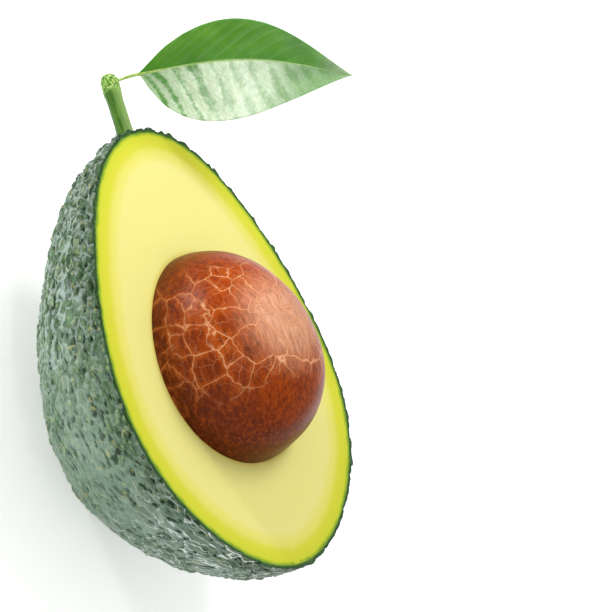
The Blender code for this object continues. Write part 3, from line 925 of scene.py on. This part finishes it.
def torn_coat(tree, place, blunt, painted_shade, flank, under):
    """Returns the colour with the tears in it, and where the tears lie."""
    bend = add_node(tree, "ShaderNodeTexNoise", {"Vector": place, "Scale": every(3.5), "Detail": 3.0,
                                                 "Roughness": 0.55})
    moved = add_node(tree, "ShaderNodeVectorMath", {0: place, 1: PLATE_SHIFT}, operation="ADD").outputs[0]
    bent = add_node(tree, "ShaderNodeVectorMath", {0: bend.outputs["Color"], 1: (2.6 * MM,) * 3, 2: moved},
                    operation="MULTIPLY_ADD").outputs[0]
    plates = add_node(tree, "ShaderNodeTexVoronoi", {"Vector": bent, "Scale": every(5.2)},
                      feature="DISTANCE_TO_EDGE").outputs["Distance"]
    small = add_node(tree, "ShaderNodeTexVoronoi", {"Vector": bent, "Scale": every(2.5)},
                     feature="DISTANCE_TO_EDGE").outputs["Distance"]
    torn = add_node(tree, "ShaderNodeTexNoise",
                    {"Vector": place, "Scale": every(4), "Detail": 3.0}).outputs["Fac"]
    middle = add_node(tree, "ShaderNodeValToRGB", {"Fac": blunt}, stops=[
        (0.12, grey(0.0)), (0.34, grey(1.0)), (0.82, grey(1.0)), (0.97, grey(0.2))])
    shown = add_node(tree, "ShaderNodeMath", {0: torn, 1: middle.outputs["Color"]},
                     operation="MULTIPLY").outputs[0]
    amount = add_node(tree, "ShaderNodeMapRange",
                      {"Value": shown, "From Min": 0.28, "From Max": 0.6}).outputs["Result"]
    heart = add_node(tree, "ShaderNodeMapRange", {"Value": plates, "From Min": 0.12, "From Max": 0.38,
                                                  "To Min": 0.0, "To Max": 1.8}).outputs["Result"]
    # Painted shade darkens the plates' hearts down the left flank.
    shaded_hearts = add_node(tree, "ShaderNodeMath", {0: heart, 1: flank}, operation="MULTIPLY").outputs[0]
    hearts_in_shade = add_node(tree, "ShaderNodeMix", {0: shaded_hearts, 6: under, 7: colour("#55200a")},
                       data_type="RGBA")
    halo = add_node(tree, "ShaderNodeMapRange", {"Value": plates, "From Min": 0.0, "From Max": 0.15,
                                                 "To Min": 0.5, "To Max": 0.0}).outputs["Result"]
    halo_here = add_node(tree, "ShaderNodeMath", {0: halo, 1: amount}, operation="MULTIPLY").outputs[0]
    tanned = add_node(tree, "ShaderNodeMix", {0: halo_here, 6: hearts_in_shade.outputs[2], 7: colour("#b0581a")},
                      data_type="RGBA")
    line = add_node(tree, "ShaderNodeMapRange", {"Value": plates, "From Min": 0.006, "From Max": 0.028,
                                                 "To Min": 1.0, "To Max": 0.0}).outputs["Result"]
    fine_line = add_node(tree, "ShaderNodeMapRange", {"Value": small, "From Min": 0.0, "From Max": 0.04,
                                                      "To Min": 0.35, "To Max": 0.0}).outputs["Result"]
    both = add_node(tree, "ShaderNodeMath", {0: line, 1: fine_line}, operation="MAXIMUM").outputs[0]
    upper = add_node(tree, "ShaderNodeMath", {0: painted_shade, 1: -0.85, 2: 1.0},
                     operation="MULTIPLY_ADD").outputs[0]
    open_here = add_node(tree, "ShaderNodeMath", {0: amount, 1: upper}, operation="MULTIPLY").outputs[0]
    crack = add_node(tree, "ShaderNodeMath", {0: both, 1: open_here}, operation="MULTIPLY").outputs[0]
    cracked = add_node(tree, "ShaderNodeMix", {0: crack, 6: tanned.outputs[2], 7: colour("#dba276")},
                       data_type="RGBA")
    return cracked.outputs[2], crack


# %% [markdown]
# The whole coat puts these together. The fibres and the lips of the tears stand a little proud, so both
# feed the bump. Typical values for dry wood give the IOR, and a low specular level keeps the brown deep.

# %% Cracked brown seed coat


def seed_coat():
    mat, tree, shader = new_finish("cracked brown seed coat")
    place = add_node(tree, "ShaderNodeTexCoord").outputs["Object"]
    along = add_node(tree, "ShaderNodeSeparateXYZ", {0: place}).outputs["Y"]
    blunt = add_node(tree, "ShaderNodeMapRange", {"Value": along, "From Min": seed_low.y,
                                                  "From Max": seed_high.y}).outputs["Result"]
    fibres = add_node(tree, "ShaderNodeMapping",
                      {"Vector": place, "Scale": (1.0, 0.2, 1.0)}).outputs["Vector"]
    streak = add_node(tree, "ShaderNodeTexNoise", {"Vector": fibres, "Scale": every(0.7), "Detail": 5.0,
                                                   "Roughness": 0.65}).outputs["Fac"]
    brown, painted_shade, flank = brown_coat(tree, place, blunt, streak)
    coat, crack = torn_coat(tree, place, blunt, painted_shade, flank, brown)
    tree.links.new(coat, shader.inputs["Base Color"])
    raised = add_node(tree, "ShaderNodeMath", {0: streak, 1: 0.6, 2: crack},
                      operation="MULTIPLY_ADD").outputs[0]
    bump = add_node(tree, "ShaderNodeBump", {"Height": raised, "Strength": 0.5, "Distance": 0.1 * MM})
    tree.links.new(bump.outputs["Normal"], shader.inputs["Normal"])
    shader.inputs["Roughness"].default_value = 0.33
    shader.inputs["IOR"].default_value = 1.47
    shader.inputs["Specular IOR Level"].default_value = 0.1
    return mat


put_on(seed, seed_coat())

# %% [markdown]
# ## Stem finish
# Young bark is green and slightly waxy, with fibres that run along it, and one side is lightened with
# painted light. The head is scarred: a patchwork of pale corky spots and dark green creases.

# %% Green stem bark


def stem_bark():
    mat, tree, shader = new_finish("young green bark")
    place = add_node(tree, "ShaderNodeTexCoord").outputs["Object"]
    head = add_node(tree, "ShaderNodeAttribute", attribute_name="head").outputs["Fac"]
    along = add_node(tree, "ShaderNodeMapping",
                     {"Vector": place, "Scale": (1.0, 0.1, 1.0)}).outputs["Vector"]
    fibre = add_node(tree, "ShaderNodeTexNoise",
                     {"Vector": along, "Scale": every(0.45), "Detail": 3.0}).outputs["Fac"]
    bark = add_node(tree, "ShaderNodeValToRGB", {"Fac": fibre}, stops=[
        (0.3, colour("#2b520a")), (0.5, colour("#3d6914")), (0.72, colour("#5c8827"))])
    spots = add_node(tree, "ShaderNodeTexNoise",
                     {"Vector": place, "Scale": every(0.5), "Detail": 3.0}).outputs["Fac"]
    cork = add_node(tree, "ShaderNodeValToRGB", {"Fac": spots}, stops=[
        (0.36, colour("#3c6e20")), (0.48, colour("#6f9a3a")), (0.58, colour("#a3c264")),
        (0.7, colour("#dbe09c"))])
    # Painted light: one side of the stalk is paler, as if lit.
    axis = STEM_TURN.to_matrix() @ Vector((0, 0, 1))
    lit_side = Vector((0.62, 0.0, 0.78))
    lit_side = (lit_side - axis * lit_side.dot(axis)).normalized()
    middle = STEM_FOOT.dot(lit_side)
    around = add_node(tree, "ShaderNodeVectorMath", {0: place, 1: lit_side},
                      operation="DOT_PRODUCT").outputs["Value"]
    painted_light_share = add_node(tree, "ShaderNodeMapRange", {"Value": around, "From Min": middle - 0.2 * MM,
                                                  "From Max": middle + 1.6 * MM,
                                                  "To Min": 0.0, "To Max": 0.6})
    painted_light_side = add_node(tree, "ShaderNodeMix", {0: painted_light_share.outputs["Result"], 6: bark.outputs["Color"],
                                              7: colour("#a9cb76")}, data_type="RGBA")
    skin = add_node(tree, "ShaderNodeMix", {0: head, 6: painted_light_side.outputs[2], 7: cork.outputs["Color"]},
                    data_type="RGBA")
    tree.links.new(skin.outputs[2], shader.inputs["Base Color"])
    both = add_node(tree, "ShaderNodeMath", {0: fibre, 1: spots}, operation="ADD").outputs[0]
    bump = add_node(tree, "ShaderNodeBump", {"Height": both, "Strength": 0.4, "Distance": 0.08 * MM})
    tree.links.new(bump.outputs["Normal"], shader.inputs["Normal"])
    shader.inputs["Roughness"].default_value = 0.42
    shader.inputs["IOR"].default_value = 1.45
    shader.inputs["Specular IOR Level"].default_value = 0.3
    return mat


put_on(stem, stem_bark())

# %% [markdown]
# ## Leaf finish
# A leaf is glossy because of its cuticle, a clear wax skin, and a little light passes through it. The
# midrib and side veins hold less green and show paler. The veins are drawn on the leaf's own UV map with
# the same count and lean as the puckers in the blade, so that each line lies in its valley.

# %% Side veins on the leaf's own map


def vein_lines(tree, u, upper, side, wander):
    """Returns the leaf's length with the veins' lean taken out, and the way to the nearest side vein."""
    reach = add_node(tree, "ShaderNodeMath", {0: side, 1: 1.15}, operation="POWER").outputs[0]
    lean = add_node(tree, "ShaderNodeMapRange", {"Value": upper, "To Min": VEIN_LEAN[-1],
                                                 "To Max": VEIN_LEAN[1]}).outputs["Result"]
    fade = add_node(tree, "ShaderNodeMath", {0: u, 1: 0.6, 2: -1.0}, operation="MULTIPLY_ADD").outputs[0]
    slant = add_node(tree, "ShaderNodeMath", {0: lean, 1: fade}, operation="MULTIPLY").outputs[0]
    lag = add_node(tree, "ShaderNodeMath", {0: reach, 1: slant, 2: u}, operation="MULTIPLY_ADD").outputs[0]
    phase = add_node(tree, "ShaderNodeMath", {0: lag, 1: VEINS}, operation="MULTIPLY").outputs[0]
    bent = add_node(tree, "ShaderNodeMath", {0: wander, 1: 0.35, 2: phase},
                    operation="MULTIPLY_ADD").outputs[0]
    turn = add_node(tree, "ShaderNodeMath", {0: bent, 1: 0.5}, operation="PINGPONG").outputs[0]
    return lag, turn


# %% [markdown]
# One half of this leaf is paled by its wax and by painted gloss, a silvery sheen that is streaked near the
# stalk and fades towards the tip, and the tip of the leaf is paled the same way. The streaks follow the
# side veins, and a noise frays them. The net of the finest veins breaks the painted gloss into meshes,
# drawn out
# along the side veins: Voronoi cells that are sixty to the leaf's length and only seven to its half width.

# %% Painted gloss and wax bloom on one half
MESHES = (60.0, 7.0, 1.0)       # meshes along the leaf and across one half of it


def gloss_and_bloom(tree, u, upper, side, lag, turn, wander, net, patch):
    """How strongly the wax and its painted gloss show at each point of the leaf."""
    bands = add_node(tree, "ShaderNodeMath", {0: turn, 1: patch}, operation="ADD").outputs[0]
    ragged = add_node(tree, "ShaderNodeMath", {0: net, 1: 0.55, 2: bands},
                      operation="MULTIPLY_ADD").outputs[0]
    pale = add_node(tree, "ShaderNodeMapRange", {"Value": ragged, "From Min": 0.78, "From Max": 1.06,
                                                 "To Min": 0.0, "To Max": 0.95}).outputs["Result"]
    even = add_node(tree, "ShaderNodeMapRange", {"Value": u, "From Min": 0.22, "From Max": 0.45,
                                                 "To Min": 0.0, "To Max": 0.55}).outputs["Result"]
    calm = add_node(tree, "ShaderNodeMix", {0: even, 2: pale, 3: 0.82}, data_type="FLOAT").outputs[0]
    lower = add_node(tree, "ShaderNodeMath", {0: 1.0, 1: upper}, operation="SUBTRACT").outputs[0]
    pale_here = add_node(tree, "ShaderNodeMath", {0: calm, 1: lower}, operation="MULTIPLY").outputs[0]
    young = add_node(tree, "ShaderNodeValToRGB", {"Fac": u}, stops=[
        (0.0, grey(0.4)), (0.3, grey(1.0)), (0.5, grey(0.95)), (0.8, grey(0.3))])
    wax_and_sheen = add_node(tree, "ShaderNodeMath", {0: pale_here, 1: young.outputs["Color"]},
                   operation="MULTIPLY").outputs[0]
    tip = add_node(tree, "ShaderNodeMapRange", {"Value": u, "From Min": 0.8, "From Max": 1.0,
                                                "To Min": 0.0, "To Max": 0.9}).outputs["Result"]
    tip_here = add_node(tree, "ShaderNodeMath", {0: tip, 1: net}, operation="MULTIPLY").outputs[0]
    silver = add_node(tree, "ShaderNodeMath", {0: wax_and_sheen, 1: tip_here}, operation="MAXIMUM").outputs[0]
    across = add_node(tree, "ShaderNodeMath", {0: wander, 1: 0.05, 2: lag},
                      operation="MULTIPLY_ADD").outputs[0]
    grain = add_node(tree, "ShaderNodeCombineXYZ", {"X": across, "Y": side}).outputs["Vector"]
    along_veins = add_node(tree, "ShaderNodeVectorMath", {0: grain, 1: MESHES},
                           operation="MULTIPLY").outputs[0]
    meshes = add_node(tree, "ShaderNodeTexVoronoi", {"Vector": along_veins, "Scale": 1.0},
                      feature="DISTANCE_TO_EDGE").outputs["Distance"]
    gaps = add_node(tree, "ShaderNodeMapRange", {"Value": meshes, "From Min": 0.0, "From Max": 0.2,
                                                 "To Min": 0.75, "To Max": 1.0}).outputs["Result"]
    return add_node(tree, "ShaderNodeMath", {0: silver, 1: gaps}, operation="MULTIPLY").outputs[0]


# %% [markdown]
# The whole leaf puts green, the painted gloss over its wax bloom, and veins together. Its UV map runs from
# 0 to 1 across the blade, with the midrib at one half, so that is turned into a distance to each side
# first. The gloss is a coat over a rougher green, as the cuticle lies over the leaf's cells.

# %% Glossy leaf cuticle


def leaf_cuticle():
    mat, tree, shader = new_finish("glossy leaf cuticle")
    uv = add_node(tree, "ShaderNodeUVMap", uv_map="blade").outputs["UV"]
    place = add_node(tree, "ShaderNodeTexCoord").outputs["Object"]
    parts = add_node(tree, "ShaderNodeSeparateXYZ", {0: uv})
    u = parts.outputs["X"]
    v = add_node(tree, "ShaderNodeMath", {0: parts.outputs["Y"], 1: 2.0, 2: -1.0},
                 operation="MULTIPLY_ADD").outputs[0]
    upper = add_node(tree, "ShaderNodeMath", {0: v, 1: 0.0}, operation="GREATER_THAN").outputs[0]
    side = add_node(tree, "ShaderNodeMath", {0: v}, operation="ABSOLUTE").outputs[0]
    wander = add_node(tree, "ShaderNodeTexNoise",
                      {"Vector": place, "Scale": every(4), "Detail": 3.0}).outputs["Fac"]
    lag, turn = vein_lines(tree, u, upper, side, wander)
    vein = add_node(tree, "ShaderNodeMapRange", {"Value": turn, "From Min": 0.0, "From Max": 0.04,
                                                 "To Min": 0.28, "To Max": 0.0}).outputs["Result"]
    rib = add_node(tree, "ShaderNodeMapRange", {"Value": side, "From Min": 0.008, "From Max": 0.03,
                                                "To Min": 1.0, "To Max": 0.0}).outputs["Result"]
    lines = add_node(tree, "ShaderNodeMath", {0: vein, 1: rib}, operation="MAXIMUM").outputs[0]
    net = add_node(tree, "ShaderNodeTexNoise",
                   {"Vector": place, "Scale": every(0.7), "Detail": 4.0}).outputs["Fac"]
    patch = add_node(tree, "ShaderNodeTexNoise",
                     {"Vector": place, "Scale": every(6), "Detail": 4.0}).outputs["Fac"]
    green = add_node(tree, "ShaderNodeValToRGB", {"Fac": patch}, stops=[
        (0.3, colour("#3b7f16")), (0.55, colour("#488d1f")), (0.75, colour("#589a29"))])
    bloom_and_sheen = gloss_and_bloom(tree, u, upper, side, lag, turn, wander, net, patch)
    # The pale mix is painted gloss over wax on the lower half and the tip.
    glossed = add_node(tree, "ShaderNodeMix", {0: bloom_and_sheen, 6: green.outputs["Color"], 7: colour("#e2eed4")},
                     data_type="RGBA")
    veined = add_node(tree, "ShaderNodeMix", {0: lines, 6: glossed.outputs[2], 7: colour("#a9cf85")},
                      data_type="RGBA")
    tree.links.new(veined.outputs[2], shader.inputs["Base Color"])
    raised = add_node(tree, "ShaderNodeMath", {0: turn, 1: 0.3, 2: net},
                      operation="MULTIPLY_ADD").outputs[0]
    bump = add_node(tree, "ShaderNodeBump", {"Height": raised, "Strength": 0.5, "Distance": 0.15 * MM})
    tree.links.new(bump.outputs["Normal"], shader.inputs["Normal"])
    shader.inputs["Roughness"].default_value = 0.33
    shader.inputs["IOR"].default_value = 1.5
    shader.inputs["Coat Weight"].default_value = 0.4
    shader.inputs["Coat Roughness"].default_value = 0.32
    shader.inputs["Subsurface Weight"].default_value = 0.1
    shader.inputs["Subsurface Radius"].default_value = (0.3, 1.0, 0.1)
    shader.inputs["Subsurface Scale"].default_value = 0.6 * MM
    return mat


put_on(leaf, leaf_cuticle())

# %% [markdown]
# The stalk and the midrib are the same tissue: stringy, with little green in it, and a little waxy. One
# noise of fine fibres between two yellow-greens is enough, since they are less than a millimetre thick.

# %% Yellow-green stalk and midrib


def stalk_finish():
    mat, tree, shader = new_finish("yellow-green leaf stalk")
    place = add_node(tree, "ShaderNodeTexCoord").outputs["Object"]
    fibre = add_node(tree, "ShaderNodeTexNoise",
                     {"Vector": place, "Scale": every(0.9), "Detail": 3.0}).outputs["Fac"]
    skin = add_node(tree, "ShaderNodeValToRGB", {"Fac": fibre}, stops=[
        (0.35, colour("#86a846")), (0.65, colour("#b4cb7a"))])
    tree.links.new(skin.outputs["Color"], shader.inputs["Base Color"])
    shader.inputs["Roughness"].default_value = 0.4
    shader.inputs["IOR"].default_value = 1.45
    return mat


put_on(midrib, stalk_finish())

# %% [markdown]
# ## Table
# The fruit lies on a white table that glows faintly, as a light table does, so that only a soft shadow
# shows. The table is scenery, not a piece of the fruit.

# %% Table
TABLE_REACH = 8.0       # metres from its middle to each side


def make_floor():
    bm = bmesh.new()
    bmesh.ops.create_grid(bm, x_segments=1, y_segments=1, size=TABLE_REACH)
    mesh = bpy.data.meshes.new("floor")
    bm.to_mesh(mesh)
    bm.free()
    floor = bpy.data.objects.new("floor", mesh)
    bpy.context.scene.collection.objects.link(floor)
    mat, _, shader = new_finish("matt white table")
    shader.inputs["Base Color"].default_value = colour("#fbfbfa")
    shader.inputs["Emission Color"].default_value = (1, 1, 1, 1)
    shader.inputs["Emission Strength"].default_value = 0.32
    shader.inputs["Roughness"].default_value = 0.9
    shader.inputs["Specular IOR Level"].default_value = 0.1
    floor.data.materials.append(mat)


make_floor()
print(f"table {2 * TABLE_REACH:.0f} m wide")

# %% [markdown]
# ## Light
# A bright, even sky keeps the colours honest and the shadows soft. One square softbox high on the far
# side puts the broad gleam on the seed, and a large weak one on the near side opens up the blunt end. A
# small spot picks out the leaf. A second one rakes along the skin from the stem end, which brings out the
# warts.

# %% Lights
AIM = Vector((5.4 * MM, 8.1 * MM, 62.4 * MM))       # what the softboxes and the camera look at


def hang(light, target, direction, distance):
    """Puts a light at a distance from its target, and turns it to face there."""
    lamp = bpy.data.objects.new(light.name, light)
    bpy.context.scene.collection.objects.link(lamp)
    direction = Vector(direction).normalized()
    lamp.location = target + direction * distance
    lamp.rotation_euler = direction.to_track_quat("Z", "Y").to_euler()


def softbox(name, direction, distance, size, power):
    light = bpy.data.lights.new(name, "AREA")
    light.shape = "SQUARE"
    light.size = size
    light.energy = power
    hang(light, AIM, direction, distance)


def narrow_spot(name, target, direction, distance, power, cone, radius):
    light = bpy.data.lights.new(name, "SPOT")
    light.energy = power
    light.spot_size = math.radians(cone)
    light.spot_blend = 0.8
    light.shadow_soft_size = radius
    hang(light, target, direction, distance)


softbox("key softbox", (0.26, 0.48, 0.84), distance=0.7, size=0.24, power=2.3)
softbox("low softbox", (-0.55, -0.75, 0.25), distance=1.0, size=1.0, power=1.6)
leaf_middle = (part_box("leaf")[0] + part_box("leaf")[1]) / 2
narrow_spot("leaf spot", leaf_middle, (-0.52, -0.11, 0.85), distance=0.6, power=8.0, cone=10, radius=0.06)
flank = Vector((peel_low.x, 14 * MM, CUT * 0.42))
narrow_spot("raking spot", flank, (-0.38, 0.90, 0.18), distance=0.7, power=42.0, cone=6.8, radius=0.07)
sky = bpy.data.worlds.new("even white sky")
bpy.context.scene.world = sky
sky.use_nodes = True
sky.node_tree.nodes["Background"].inputs["Color"].default_value = (1, 1, 1, 1)
sky.node_tree.nodes["Background"].inputs["Strength"].default_value = 0.72
bpy.context.scene.view_settings.view_transform = "Standard"
print("lights:", sorted(light.name for light in bpy.data.lights))

# %% [markdown]
# ## Camera
# The camera looks down at the fruit from its left side, and is rolled so that the stem points up. It
# stands well back with a long lens, which keeps the egg from swelling towards the viewer. Two angles give
# the direction it looks from, and a turn about its own axis gives the roll.

# %% Camera
CAMERA_AZIMUTH = math.radians(-78.72)
CAMERA_ELEVATION = math.radians(35.89)
CAMERA_ROLL = math.radians(-63.26)
CAMERA_DISTANCE = 615.4 * MM
camera = bpy.data.objects.new("camera", bpy.data.cameras.new("camera"))
bpy.context.scene.collection.objects.link(camera)
camera.data.sensor_width = 36.0
camera.data.lens = 175.5
camera.data.clip_start = 0.01
back = Vector((math.sin(CAMERA_AZIMUTH) * math.cos(CAMERA_ELEVATION),
               -math.cos(CAMERA_AZIMUTH) * math.cos(CAMERA_ELEVATION), math.sin(CAMERA_ELEVATION)))
camera.location = AIM + back * CAMERA_DISTANCE
camera.rotation_mode = "QUATERNION"
camera.rotation_quaternion = back.to_track_quat("Z", "Y") @ Quaternion((0, 0, 1), -CAMERA_ROLL)
bpy.context.scene.camera = camera
print("camera at", [round(c, 4) for c in camera.location])
